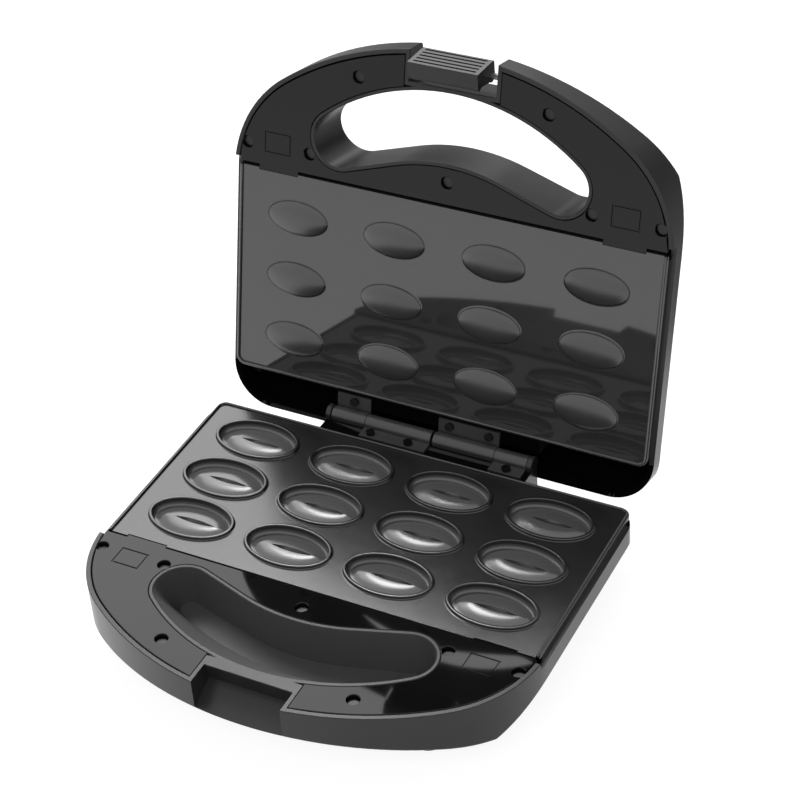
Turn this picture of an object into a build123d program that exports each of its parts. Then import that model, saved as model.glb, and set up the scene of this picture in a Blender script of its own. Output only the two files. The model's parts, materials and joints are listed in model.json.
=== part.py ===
"""Hinged electric baking appliance with twelve oval moulds, stored open.

The base and the lid are drawn as they lie when closed, and the lid is then turned open about the hinge.
X runs along the hinge, Y points from the handle to the hinge and Z is up from the table, in millimetres.
"""
from math import acos, asin, atan2, cos, degrees, hypot, radians, sin, sqrt
import os

from build123d import *

os.makedirs("parts", exist_ok=True)

# Halves: +1 is the lid, above the parting plane, and -1 is the base, below it
BASE = -1
LID = 1

# Baking plates, as wide and as deep as their moulds need
column_pitch = 52.0
row_pitch = 31.8
column_count = 4
row_count = 3
hollow_length = 40.0
hollow_width = 21.6
hollow_depth = 9.5
hollow_wall = 2.4
mould_reach_x = (column_count - 1) / 2 * column_pitch + hollow_length / 2
mould_reach_y = (row_count - 1) / 2 * row_pitch + hollow_width / 2
mould_side_margin = 12.8
mould_front_margin = 11.8
mould_rear_margin = 10.3
plate_half_width = mould_reach_x + mould_side_margin
plate_front_y = -mould_reach_y - mould_front_margin
plate_rear_y = mould_reach_y + mould_rear_margin
plate_thickness = 2.9
plate_corner_radius = 5.0
surface_drop = 1.44
slab_back = surface_drop + plate_thickness
bead_height = 1.1
bead_width = 1.3
bead_inset = 0.8
skirt_inset = 3.2
skirt_wall = 2.0
skirt_depth = 6.0
lip_width = 1.4
lip_height = 1.2
seam_length = 24.0
seam_width = 2.6
seam_height = 1.1
# the bosses are smaller than the hollows all round, by the thickness of what is baked
filling_end = 4.7
filling_side = 2.8
filling_floor = 1.5
boss_length = hollow_length - 2 * filling_end
boss_width = hollow_width - 2 * filling_side
boss_height = hollow_depth - filling_floor

# Casing outline, seen from above
plate_side_gap = 2.4
plate_rear_gap = 2.4
half_width = plate_half_width + plate_side_gap
handle_length = 73.9
front_y = plate_front_y - handle_length
front_radius = 152.2
shoulder_radius = 60.0
base_rear_y = plate_rear_y + plate_rear_gap
base_corner_radius = 14.0
lid_corner_radius = 22.0
wall = 2.4
parting_gap = 0.3
cut_over = 1.0

# Casing depth, measured from the parting plane
base_front_depth = 16.2
base_depth = 33.0
base_rear_depth = 28.0
base_side_depth = 14.0
lid_front_depth = 12.5
lid_depth = 36.0
lid_rear_depth = 16.0
lid_side_depth = 12.5
side_slope_width = 27.0
side_slope_bulge = 3.6
edge_radius = 2.0

# Feet, which set how high the parting plane lies above the table
foot_height = 3.5
leg_height = 3.5
parting_height = base_depth + leg_height + foot_height
leg_end = parting_height - foot_height
foot_radius = 6.5
foot_recess = 0.8
foot_plug_radius = 3.0
foot_plug_length = 4.0
foot_chamfer = 0.6
leg_radius = 8.5
front_foot = (plate_half_width - 40.8, plate_front_y - 29.6)
rear_foot = (plate_half_width - 30.8, plate_rear_y - 6.9)

# Handle cover
cover_inset = 2.8
cover_thickness = 2.2
cover_rear_gap = 1.2
cover_rear_y = plate_front_y - cover_rear_gap
cover_back = parting_gap + cover_thickness
cover_boss_radius = 4.4
cover_boss_height = 3.0
cover_seat = cover_back + cover_boss_height
cover_hole_radius = 3.0
cover_floor = 1.4
cross_wall_y = cover_rear_y - 2.0
tab_length = 21.0
tab_outer_x = plate_half_width - 10.9
tab_inner_x = tab_outer_x - tab_length
tab_front_y = plate_front_y + 1.7
tab_thickness = 1.4
tab_sink = 0.3
tab_clearance = 0.15
label_x = (tab_inner_x + tab_outer_x) / 2
label_y = cover_rear_y - 12.4
label_size = (14.0, 10.4)
label_groove = 0.5
label_groove_depth = 0.4

# Handle opening
opening_front_y = front_y + 19.1
opening_waist_y = cover_rear_y - 19.7
opening_end_x = half_width - 56.4
opening_end_y = cover_rear_y - 20.1
opening_end_radius = 13.5
opening_inner_radius = 90.0
opening_ring = 1.8
scoop_under = 10.0
scoop_depth = base_depth - scoop_under
scoop_floor_front_y = opening_waist_y - 11.2
scoop_floor_end_x = opening_end_x + 4.2
scoop_floor_end_radius = 4.5

# Cover and hinge screws
screw_head_radius = 2.6
screw_head_height = 1.7
screw_shank_radius = 1.2
cover_screw_length = 9.0
screw_fit = 0.05
side_screw_x = opening_end_x + opening_end_radius + 2.2
outer_screw_x = plate_half_width - 4.6
front_screw_x = 48.0
front_screw_y = front_y + 20.0
cover_screws = [(0.0, cover_rear_y - 10.5), (front_screw_x, front_screw_y), (-front_screw_x, front_screw_y),
                (side_screw_x, cover_rear_y - 10.1), (-side_screw_x, cover_rear_y - 10.1),
                (outer_screw_x, cover_rear_y - 10.0), (-outer_screw_x, cover_rear_y - 10.0)]

# Latch notch and latch
notch_half_width = 22.0
notch_wall = 2.2
lid_notch_y = front_y + 16.9
catch_lip_y = front_y + 13.3
catch_undercut = 2.4
catch_depth = 10.0
catch_floor_drop = 4.7
catch_floor_length = 11.7
latch_side_gap = 4.4
latch_half_width = notch_half_width - latch_side_gap
latch_pivot_y = front_y + 8.3
latch_pivot_rise = 4.5
latch_barrel_radius = 3.2
latch_pin_radius = 1.5
latch_face_top = (front_y + 1.0, 5.7)
latch_face_bottom = (front_y + 3.9, -11.9)
latch_nose = (front_y + 12.5, -8.5)
latch_toe = (front_y + 11.1, -10.2)
latch_web_y = front_y + 10.9
latch_web_top = 2.0
latch_hook_height = 1.8
latch_top_radius = 1.5
latch_bottom_radius = 0.9
latch_rib_count = 5
latch_rib_pitch = 3.1
latch_rib_groove = 1.3
latch_rib_depth = 0.8
latch_rib_half_width = latch_half_width - 2.0

# Hinge
hinge_y = plate_rear_y + 12.2
hinge_drop = 1.07
open_angle = 103.8
knuckle_radius = 4.0
knuckle_clearance = 0.6
ear_radius = 4.3
hinge_pin_radius = 1.5
running_clearance = 0.05
leaf_thickness = 1.5
leaf_front_y = base_rear_y - 1.0
leaf_seat = surface_drop + leaf_thickness
knuckle_gap = 0.3
left_hinge = (-52.4, -34.0, 1.6)
right_hinge = (3.0, 35.6, 52.7)
hinge_screw_y = leaf_front_y + 3.3
hinge_screw_radius = 2.2
hinge_screw_height = 1.3
hinge_screw_length = 8.0
hinge_screws_base = (-29.0, -8.5, 44.0)
hinge_screws_lid = (-43.0, 9.0, 30.0)
block_end_gap = 0.4
block_half_width = right_hinge[2] + block_end_gap + wall
block_front_y = base_rear_y - 2.0
block_rear_y = hinge_y + 3.0
block_depth = base_rear_depth - 1.0
lid_block_rear_y = hinge_y - 4.1
lid_rear_y = hinge_y + 8.9

# Heating
heater_radius = 3.2
heater_plate_gap = 0.16
heater_leg_y = row_pitch / 2
heater_end_x = mould_reach_x + 3.5
heater_start_x = 1.0 - mould_reach_x
heater_bend_radius = 9.0
heater_depth = slab_back + heater_radius + heater_plate_gap
terminal_radius = 1.6
terminal_length = 6.0
tray_half_width = plate_half_width - 4.5
tray_front_y = plate_front_y + 3.8
tray_rear_y = plate_rear_y - 3.8
tray_rise = 5.0
tray_sheet = 0.8
tray_near = slab_back + skirt_depth
tray_far = tray_near + tray_rise
nut_radius = 4.0
nut_height = 3.0
stud_x = column_pitch
stud_y = plate_rear_y - 12.9
stud_radius = 2.0
stud_end = 1.4
stud_length = skirt_depth + tray_rise + nut_height + stud_end
thermostat_radius = 8.0
thermostat_height = 5.0
thermostat_cap_radius = 5.5
thermostat_cap_height = 2.5
fuse_radius = 2.2
fuse_length = 12.0
fuse_x = 26.0

# Inlet and lamps
gland_x = block_half_width + 8.0
gland_depth = base_rear_depth - 8.5
gland_bore_radius = 3.6
gland_body_radius = 5.4
gland_flange_radius = 7.0
gland_flange = 2.0
gland_tail = 2.4
terminal_block_size = (20.0, 14.0, 9.0)
terminal_block_x = plate_half_width - 26.8
terminal_block_y = 30.0
terminal_block_depth = tray_far + 2.06
terminal_hole_radius = 1.8
terminal_post_radius = 3.0
lamp_x = 14.0
lamp_y = -40.0
lamp_radius = 3.0
lamp_length = 9.0
lens_radius = 4.0
lens_flange_radius = 5.2
lens_flange = 1.2
lens_drop = 1.4
lens_seat = lid_depth - lens_drop
lens_seat_margin = 0.9
fit_gap = 0.1
hinge_z = parting_height - hinge_drop

# What repeats
mould_places = [((column - (column_count - 1) / 2) * column_pitch, (row - (row_count - 1) / 2) * row_pitch)
                for column in range(column_count) for row in range(row_count)]
stud_places = [(x, y) for x in (-stud_x, stud_x) for y in (-stud_y, stud_y)]
foot_places = [(side * x, y) for x, y in (front_foot, rear_foot) for side in (-1, 1)]
hinge_axis = Axis((0, hinge_y, hinge_z), (1, 0, 0))


def height(half, depth):
    """Height above the table of a plane at a depth from the parting plane."""
    return parting_height + half * depth


def slab_plane(half, near, far):
    """Plane under a slab that lies between two depths."""
    return Plane.XY.offset(min(height(half, near), height(half, far)))


def opened(piece):
    """A lid piece, turned from where it lies when closed to its open stop."""
    return piece.rotate(hinge_axis, -open_angle)


def hand_in(builder, name, open_it=False):
    """Label a finished piece and write its file."""
    piece = opened(builder.part) if open_it else builder.part
    piece.label = name
    export_step(piece, f"parts/{name}.step")


def outline(plane, rear_y, corner_radius, inset=0.0):
    """Casing outline: front arc, two shoulders, straight sides and rounded rear corners."""
    side = half_width - inset
    rear = rear_y - inset
    corner = corner_radius - inset
    centre_y = front_y + front_radius
    shoulder_x = half_width - shoulder_radius
    shoulder_y = centre_y - sqrt((front_radius - shoulder_radius) ** 2 - shoulder_x**2)
    lean = degrees(atan2(shoulder_y - centre_y, shoulder_x))
    with BuildSketch(plane) as face:
        with BuildLine():
            CenterArc((0, centre_y), front_radius - inset, -180 - lean, 180 + 2 * lean)
            CenterArc((shoulder_x, shoulder_y), shoulder_radius - inset, lean, -lean)
            Line((side, shoulder_y), (side, rear - corner))
            CenterArc((side - corner, rear - corner), corner, 0, 90)
            Line((side - corner, rear), (corner - side, rear))
            CenterArc((corner - side, rear - corner), corner, 90, 90)
            Line((-side, rear - corner), (-side, shoulder_y))
            CenterArc((-shoulder_x, shoulder_y), shoulder_radius - inset, 180, -lean)
        make_face()
    return face.sketch


def opening(plane, grow=0.0, end=(opening_end_x, opening_end_y), end_radius=opening_end_radius,
            outer_y=opening_front_y):
    """Handle opening: a long front arc, two round ends and an inner arc joined to them by tangent lines."""
    inner = opening_inner_radius
    inner_y = opening_waist_y + inner
    end_x, end_y = end
    reach = -outer_y - end_radius
    outer_centre = (end_x**2 + end_y**2 - reach**2) / (2 * (reach + end_y))
    outer_lean = degrees(atan2(end_y - outer_centre, end_x))
    span = hypot(end_x, end_y - inner_y)
    lean = degrees(atan2(end_y - inner_y, end_x) - acos((inner + end_radius) / span))
    way = Vector(cos(radians(lean)), sin(radians(lean)))
    near = Vector(0, inner_y) + way * (inner - grow)
    far = Vector(end_x, end_y) - way * (end_radius + grow)
    with BuildSketch(plane) as face:
        with BuildLine():
            CenterArc((0, outer_centre), outer_centre - outer_y + grow, -180 - outer_lean,
                      180 + 2 * outer_lean)
            CenterArc((end_x, end_y), end_radius + grow, outer_lean, 180 + lean - outer_lean)
            Line(far, near)
            CenterArc((0, inner_y), inner - grow, lean, -180 - 2 * lean)
            Line((-near.X, near.Y), (-far.X, far.Y))
            CenterArc((-end_x, end_y), end_radius + grow, -lean, 180 + lean - outer_lean)
        make_face()
    return face.sketch


def crown(half, inset):
    """Profile along Y: how deep the casing is from the handle to the hinge side."""
    front, middle, rear, rear_y = {
        BASE: (base_front_depth, base_depth, base_rear_depth, base_rear_y),
        LID: (lid_front_depth, lid_depth, lid_rear_depth, lid_rear_y),
    }[half]
    rear_rise = middle - rear
    front_rise = middle - front
    front_bow = (front_y**2 + front_rise**2) / (2 * front_rise)
    rear_bow = (rear_y**2 + rear_rise**2) / (2 * rear_rise)
    # both arcs run on a little past the outline that trims them
    front_sweep = asin((wall - front_y) / front_bow)
    rear_sweep = asin((wall + rear_y) / rear_bow)

    def on_arc(bow, turn):
        radius = bow - inset
        return (radius * sin(turn), height(half, middle - bow + radius * cos(turn)))

    with BuildSketch(Plane.YZ) as face:
        with BuildLine():
            start = on_arc(front_bow, -front_sweep)
            top = on_arc(front_bow, 0.0)
            finish = on_arc(rear_bow, rear_sweep)
            ThreePointArc(start, on_arc(front_bow, -front_sweep / 2), top)
            ThreePointArc(top, on_arc(rear_bow, rear_sweep / 2), finish)
            Polyline(finish, (finish[0], height(half, 0)), (start[0], height(half, 0)), start)
        make_face()
    return face.sketch


def arch(half, inset):
    """Profile along X: flat in the middle, falling in an arc to each side wall."""
    depth, side_depth = {
        BASE: (base_depth, base_side_depth),
        LID: (lid_depth, lid_side_depth),
    }[half]
    fall = depth - side_depth
    chord = hypot(side_slope_width, fall)
    radius = (chord**2 / 4 + side_slope_bulge**2) / (2 * side_slope_bulge)
    reach = (radius - side_slope_bulge) / chord
    centre_x = half_width - side_slope_width / 2 - reach * fall
    centre_depth = (depth + side_depth) / 2 - reach * side_slope_width
    start_turn = asin((depth - inset - centre_depth) / (radius - inset))
    # the arc runs on past the side wall, which trims it
    end_turn = acos((half_width - inset - centre_x) / (radius - inset)) / 2

    def on_arc(side, turn):
        return (side * (centre_x + (radius - inset) * cos(turn)),
                height(half, centre_depth + (radius - inset) * sin(turn)))

    middle_turn = (start_turn + end_turn) / 2
    with BuildSketch(Plane.XZ) as face:
        with BuildLine():
            Line(on_arc(-1, start_turn), on_arc(1, start_turn))
            for side in (-1, 1):
                ThreePointArc(on_arc(side, start_turn), on_arc(side, middle_turn), on_arc(side, end_turn))
            right = on_arc(1, end_turn)
            Polyline(right, (right[0], height(half, 0)), (-right[0], height(half, 0)), (-right[0], right[1]))
        make_face()
    return face.sketch


def form(half, inset=0.0, top=0.0):
    """Solid form of one half, set in on every side but the parting plane; the outer one has soft edges."""
    rear_y, corner, depth = {
        BASE: (base_rear_y, base_corner_radius, base_depth),
        LID: (lid_rear_y, lid_corner_radius, lid_depth),
    }[half]
    with BuildPart() as body:
        extrude(outline(slab_plane(half, top, depth + cut_over), rear_y, corner, inset),
                amount=depth + cut_over - top)
        extrude(crown(half, inset), amount=half_width, both=True, mode=Mode.INTERSECT)
        extrude(arch(half, inset), amount=front_radius, both=True, mode=Mode.INTERSECT)
        if inset == 0:
            parting_z = height(half, top)
            fillet(body.edges().filter_by(
                lambda edge: all(abs(end.Z - parting_z) > fit_gap for end in edge.vertices())), edge_radius)
    return body.part


def box_between(xs, ys, half, depths):
    """Box between two places along X and Y and two depths from the parting plane."""
    low = min(height(half, depths[0]), height(half, depths[1]))
    with BuildPart() as body:
        with Locations(((xs[0] + xs[1]) / 2, (ys[0] + ys[1]) / 2, low)):
            Box(xs[1] - xs[0], ys[1] - ys[0], abs(depths[1] - depths[0]),
                align=(Align.CENTER, Align.CENTER, Align.MIN))
    return body.part


def post(x, y, radius, half, near, far):
    """Upright cylinder between two depths from the parting plane."""
    with BuildPart() as body:
        with Locations((x, y, min(height(half, near), height(half, far)))):
            Cylinder(radius, abs(far - near), align=(Align.CENTER, Align.CENTER, Align.MIN))
    return body.part


def pilot(x, y, half, near, length):
    """Pilot hole for a screw's shank, going on from a depth away from the parting plane."""
    return post(x, y, screw_shank_radius + screw_fit, half, near, near + length)


def barrel(y, z, radius, start_x, end_x):
    """Cylinder along X."""
    with BuildPart() as body:
        with BuildSketch(Plane.YZ.offset(start_x)):
            with Locations((y, z)):
                Circle(radius)
        extrude(amount=end_x - start_x)
    return body.part


def notch_cut(half):
    """Space of the latch notch, which runs out past the front wall."""
    far_y = front_y - wall
    if half == LID:
        return box_between((-notch_half_width, notch_half_width), (far_y, lid_notch_y), half,
                           (-cut_over, lid_depth))
    lip = (catch_lip_y, height(half, 0))
    undercut = (catch_lip_y + catch_undercut, height(half, catch_depth))
    sill_slope = catch_floor_drop / catch_floor_length
    sill = (far_y, height(half, catch_depth) - sill_slope * (undercut[0] - far_y))
    with BuildPart() as body:
        with BuildSketch(Plane.YZ):
            with BuildLine():
                Polyline(lip, undercut, sill, (far_y, height(half, -cut_over)),
                         (lip[0], height(half, -cut_over)),
                         close=True)
            make_face()
        extrude(amount=notch_half_width, both=True)
    return body.part


def inner_walls(half):
    """Walls inside one half, trimmed to its form: cross wall, opening liner, screw posts and notch walls."""
    depth = {BASE: base_depth, LID: lid_depth}[half]
    notch_side = notch_half_width + notch_wall
    with BuildPart() as body:
        add(box_between((-half_width, half_width), (cross_wall_y - wall, cross_wall_y), half,
                        (cover_back, depth)))
        extrude(opening(slab_plane(half, parting_gap, depth), opening_ring), amount=depth - parting_gap)
        for x, y in cover_screws:
            add(post(x, y, cover_boss_radius, half, cover_seat, depth))
        add(box_between((-notch_side, notch_side), (front_y, opening_front_y), half, (parting_gap, depth)))
        if half == LID:
            add(box_between((-block_half_width, block_half_width), (block_front_y, lid_block_rear_y), half,
                            (leaf_seat, depth)))
        else:
            for side in (-1, 1):
                add(post(terminal_block_x + side * terminal_block_size[0] / 4, terminal_block_y,
                         terminal_post_radius, half, terminal_block_depth + terminal_block_size[2], depth))
        add(form(half), mode=Mode.INTERSECT)
    return body.part


def casing_shell(half):
    """Moulded casing of one half: shell, inner walls, low rim round the plate, notch and pilot holes."""
    rear_y = {BASE: base_rear_y, LID: lid_rear_y}[half]
    with BuildPart() as body:
        add(form(half, top=parting_gap))
        if half == BASE:
            for x, y in foot_places:
                add(post(x, y, leg_radius, half, base_side_depth, leg_end + foot_recess))
        add(form(half, inset=wall), mode=Mode.SUBTRACT)
        add(inner_walls(half))
        # the rim steps down beside and behind the baking plate
        add(box_between((-half_width, half_width), (cross_wall_y, rear_y), half, (0, slab_back)),
            mode=Mode.SUBTRACT)
        add(notch_cut(half), mode=Mode.SUBTRACT)
        for x, y in cover_screws:
            add(pilot(x, y, half, cover_seat, cover_screw_length), mode=Mode.SUBTRACT)
    return body.part


def scoop():
    """Finger scoop of the base: a ramp from the opening's front edge down to its back wall."""
    floor_end_y = opening_end_y + opening_end_radius - scoop_floor_end_radius
    with BuildPart() as body:
        top = opening(Plane.XY.offset(height(BASE, 0)))
        floor = opening(Plane.XY.offset(height(BASE, scoop_depth)), 0.0, (scoop_floor_end_x, floor_end_y),
                        scoop_floor_end_radius, scoop_floor_front_y)
        loft([top.face(), floor.face()], ruled=True)
    return body.part


def handle_cover(half):
    """Flat cover of a handle, with screw bosses, an empty label frame and a plate tab on each side."""
    rear_y, corner = {
        BASE: (base_rear_y, base_corner_radius),
        LID: (lid_rear_y, lid_corner_radius),
    }[half]
    notch_side = notch_half_width + notch_wall + fit_gap
    tab_back = surface_drop + tab_sink + tab_thickness
    with BuildPart() as body:
        add(box_between((-half_width, half_width), (front_y, cover_rear_y), half, (parting_gap, cover_back)))
        for x, y in cover_screws:
            add(post(x, y, cover_boss_radius, half, cover_back, cover_seat))
        extrude(outline(slab_plane(half, parting_gap, cover_seat), rear_y, corner, cover_inset),
                amount=cover_seat - parting_gap, mode=Mode.INTERSECT)
        extrude(opening(slab_plane(half, parting_gap, cover_seat), opening_ring + fit_gap),
                amount=cover_seat - parting_gap, mode=Mode.SUBTRACT)
        add(box_between((-notch_side, notch_side), (front_y, opening_waist_y - cover_boss_radius), half,
                        (parting_gap, cover_seat)), mode=Mode.SUBTRACT)
        for side in (-1, 1):
            xs = sorted((side * tab_inner_x, side * tab_outer_x))
            add(box_between(xs, (cross_wall_y, tab_front_y), half, (surface_drop + tab_sink, tab_back)))
        for x, y in cover_screws:
            add(post(x, y, cover_hole_radius, half, 0, cover_seat - cover_floor), mode=Mode.SUBTRACT)
            add(pilot(x, y, half, 0, cover_seat), mode=Mode.SUBTRACT)
        for side in (-1, 1):
            with BuildSketch(slab_plane(half, parting_gap, parting_gap + label_groove_depth)):
                with Locations((side * label_x, label_y)):
                    Rectangle(label_size[0], label_size[1])
                    Rectangle(label_size[0] - 2 * label_groove, label_size[1] - 2 * label_groove,
                              mode=Mode.SUBTRACT)
            extrude(amount=label_groove_depth, mode=Mode.SUBTRACT)
    return body.part


def screw(x, y, half, seat, length, head_radius, head_height):
    """Pan-head screw standing on a seat at a depth, with its shank going on away from the parting plane."""
    with BuildPart() as body:
        add(post(x, y, head_radius, half, seat - head_height, seat))
        add(post(x, y, screw_shank_radius, half, seat, seat + length))
    return body.part


def cover_screw_set(half):
    """The seven screws of one handle cover."""
    with BuildPart() as body:
        for x, y in cover_screws:
            add(screw(x, y, half, cover_seat - cover_floor, cover_screw_length, screw_head_radius,
                      screw_head_height))
    return body.part


def plate_frame(plane, inset, radius):
    """Rounded rectangle of the baking plate, set in from its edge."""
    depth = plate_rear_y - plate_front_y
    with BuildSketch(plane) as face:
        with Locations((0, (plate_rear_y + plate_front_y) / 2)):
            RectangleRounded(2 * (plate_half_width - inset), depth - 2 * inset, radius)
    return face.sketch


def plate_blank(half):
    """Cast baking plate without moulds: slab, skirt, raised bead on three sides, front notches and studs."""
    with BuildPart() as body:
        extrude(plate_frame(slab_plane(half, surface_drop, slab_back), 0, plate_corner_radius),
                amount=plate_thickness)
        skirt = slab_plane(half, slab_back, slab_back + skirt_depth)
        extrude(plate_frame(skirt, skirt_inset, plate_corner_radius) -
                plate_frame(skirt, skirt_inset + skirt_wall, plate_corner_radius - skirt_wall),
                amount=skirt_depth)
        bead = slab_plane(half, surface_drop - bead_height, surface_drop)
        extrude(plate_frame(bead, bead_inset, plate_corner_radius - bead_inset) -
                plate_frame(bead, bead_inset + bead_width, plate_corner_radius - bead_inset - bead_width),
                amount=bead_height)
        add(box_between((-plate_half_width, plate_half_width),
                        (plate_front_y, plate_front_y + bead_inset + bead_width + fit_gap), half,
                        (0, surface_drop)), mode=Mode.SUBTRACT)
        for side in (-1, 1):
            xs = sorted((side * (tab_inner_x - tab_clearance), side * (tab_outer_x + tab_clearance)))
            add(box_between(xs, (plate_front_y, tab_front_y + tab_clearance), half,
                            (0, surface_drop + tab_sink + tab_thickness + fit_gap)), mode=Mode.SUBTRACT)
        for x, y in stud_places:
            add(post(x, y, stud_radius, half, slab_back, slab_back + stud_length))
    return body.part


def oval(length, width, depth):
    """Whole ellipsoid about the origin."""
    with BuildPart() as body:
        Sphere(1.0)
        scale(by=(length / 2, width / 2, depth))
    return body.part


def heater():
    """Sheathed heating element: two long legs between the rows of moulds, joined at one end."""
    with BuildPart() as body:
        with BuildLine(Plane.XY) as path:
            FilletPolyline((heater_start_x, heater_leg_y), (heater_end_x, heater_leg_y),
                           (heater_end_x, -heater_leg_y), (heater_start_x, -heater_leg_y),
                           radius=heater_bend_radius)
        with BuildSketch(Plane(origin=path.line @ 0, z_dir=path.line % 0)):
            Circle(heater_radius)
        sweep(path=path.line)
    return body.part


def heater_terminals(half):
    """Cold ends of the element."""
    with BuildPart() as body:
        for y in (-heater_leg_y, heater_leg_y):
            add(barrel(y, height(half, heater_depth), terminal_radius, heater_start_x - terminal_length,
                       heater_start_x))
    return body.part


def heat_tray(half):
    """Shallow sheet pan under the plate, with a hole for each stud."""
    with BuildPart() as body:
        add(box_between((-tray_half_width, tray_half_width), (tray_front_y, tray_rear_y), half,
                        (tray_near, tray_far)))
        add(box_between((tray_sheet - tray_half_width, tray_half_width - tray_sheet),
                        (tray_front_y + tray_sheet, tray_rear_y - tray_sheet), half,
                        (tray_near, tray_far - tray_sheet)), mode=Mode.SUBTRACT)
        for x, y in stud_places:
            add(post(x, y, stud_radius + fit_gap, half, tray_near, tray_far), mode=Mode.SUBTRACT)
    return body.part


def plate_nuts(half):
    """Hexagon nuts on the plate's studs, which hold the tray."""
    with BuildPart() as body:
        with BuildSketch(slab_plane(half, tray_far, tray_far + nut_height)):
            with Locations(*stud_places):
                RegularPolygon(nut_radius, 6)
                Circle(stud_radius + screw_fit, mode=Mode.SUBTRACT)
        extrude(amount=nut_height)
    return body.part


def hinge_leaf(half, start_x, end_x, screws):
    """Hinge leaf of one half: knuckle about the hinge axis and a flat leaf with screw holes."""
    low = min(height(half, surface_drop), height(half, leaf_seat))
    with BuildPart() as body:
        with BuildSketch(Plane.YZ.offset(start_x)):
            with Locations((hinge_y, hinge_z)):
                Circle(knuckle_radius)
            with Locations((leaf_front_y, low)):
                Rectangle(hinge_y - leaf_front_y, leaf_thickness, align=(Align.MIN, Align.MIN))
        extrude(amount=end_x - start_x)
        add(barrel(hinge_y, hinge_z, hinge_pin_radius + running_clearance, start_x, end_x),
            mode=Mode.SUBTRACT)
        for x in screws:
            if start_x < x < end_x:
                add(pilot(x, hinge_screw_y, half, 0, leaf_seat), mode=Mode.SUBTRACT)
    return body.part


def hinge_screw_set(half, places):
    """Screws of the hinge leaves of one half."""
    with BuildPart() as body:
        for x in places:
            add(screw(x, hinge_screw_y, half, surface_drop, hinge_screw_length, hinge_screw_radius,
                      hinge_screw_height))
    return body.part



# Base
with BuildPart() as base_casing:
    add(casing_shell(BASE))
    add(scoop(), mode=Mode.SUBTRACT)
    # hinge block behind the rear wall, with the groove that the knuckles turn in
    add(box_between((-block_half_width, block_half_width), (block_front_y, block_rear_y), BASE,
                    (leaf_seat, block_depth)))
    add(barrel(hinge_y, hinge_z, knuckle_radius + knuckle_clearance, wall - block_half_width,
               block_half_width - wall), mode=Mode.SUBTRACT)
    for start_x in (-block_half_width, block_half_width - wall):
        add(barrel(hinge_y, hinge_z, ear_radius, start_x, start_x + wall))
    for x in hinge_screws_base:
        add(pilot(x, hinge_screw_y, BASE, leaf_seat, hinge_screw_length), mode=Mode.SUBTRACT)
    for x, y in foot_places:
        add(post(x, y, foot_radius + fit_gap, BASE, leg_end, leg_end + foot_recess), mode=Mode.SUBTRACT)
        add(post(x, y, foot_plug_radius + fit_gap, BASE, leg_end - foot_plug_length - fit_gap, leg_end),
            mode=Mode.SUBTRACT)
    with Locations(Location((gland_x, base_rear_y, height(BASE, gland_depth)), (90, 0, 0))):
        Cylinder(gland_body_radius + fit_gap, 2 * (wall + cut_over), mode=Mode.SUBTRACT)
hand_in(base_casing, "base_casing")

with BuildPart() as base_handle_cover:
    add(handle_cover(BASE))
hand_in(base_handle_cover, "base_handle_cover")

with BuildPart() as base_cover_screws:
    add(cover_screw_set(BASE))
hand_in(base_cover_screws, "base_cover_screws")

with BuildPart() as base_plate:
    surface = height(BASE, surface_drop)
    add(plate_blank(BASE))
    with Locations(*[(x, y, surface) for x, y in mould_places]):
        add(oval(hollow_length + 2 * hollow_wall, hollow_width + 2 * hollow_wall,
                 hollow_depth + hollow_wall))
    # the ovals' upper halves are cut away above the plate, and a low lip is left round each hollow
    oval_x = mould_reach_x + 2 * hollow_wall
    oval_y = mould_reach_y + 2 * hollow_wall
    add(box_between((-oval_x, oval_x), (-oval_y, oval_y), BASE,
                    (surface_drop - hollow_depth - 2 * hollow_wall, surface_drop)), mode=Mode.SUBTRACT)
    with BuildSketch(Plane.XY.offset(surface)):
        with Locations(*mould_places):
            Ellipse(hollow_length / 2 + lip_width, hollow_width / 2 + lip_width)
    extrude(amount=lip_height)
    with Locations(*[(x, y, surface) for x, y in mould_places]):
        add(oval(hollow_length, hollow_width, hollow_depth), mode=Mode.SUBTRACT)
    with BuildSketch(Plane.XY.offset(surface)):
        with Locations(*mould_places):
            Ellipse(hollow_length / 2, hollow_width / 2)
    extrude(amount=lip_height, mode=Mode.SUBTRACT)
    with Locations(*[(x, y, surface - hollow_depth) for x, y in mould_places]):
        add(oval(seam_length, seam_width, seam_height))
hand_in(base_plate, "base_plate")

with BuildPart() as base_heater:
    with Locations((0, 0, height(BASE, heater_depth))):
        add(heater())
hand_in(base_heater, "base_heater")

with BuildPart() as base_heater_terminals:
    add(heater_terminals(BASE))
hand_in(base_heater_terminals, "base_heater_terminals")

with BuildPart() as base_heat_tray:
    add(heat_tray(BASE))
hand_in(base_heat_tray, "base_heat_tray")

with BuildPart() as base_plate_nuts:
    add(plate_nuts(BASE))
hand_in(base_plate_nuts, "base_plate_nuts")

with BuildPart() as base_hinge_long:
    add(hinge_leaf(BASE, left_hinge[1] + knuckle_gap / 2, left_hinge[2], hinge_screws_base))
hand_in(base_hinge_long, "base_hinge_long")

with BuildPart() as base_hinge_short:
    add(hinge_leaf(BASE, right_hinge[1] + knuckle_gap / 2, right_hinge[2], hinge_screws_base))
hand_in(base_hinge_short, "base_hinge_short")

with BuildPart() as base_hinge_screws:
    add(hinge_screw_set(BASE, hinge_screws_base))
hand_in(base_hinge_screws, "base_hinge_screws")

with BuildPart() as hinge_pin_left:
    add(barrel(hinge_y, hinge_z, hinge_pin_radius, left_hinge[0], left_hinge[2]))
hand_in(hinge_pin_left, "hinge_pin_left")

with BuildPart() as hinge_pin_right:
    add(barrel(hinge_y, hinge_z, hinge_pin_radius, right_hinge[0], right_hinge[2]))
hand_in(hinge_pin_right, "hinge_pin_right")

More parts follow.
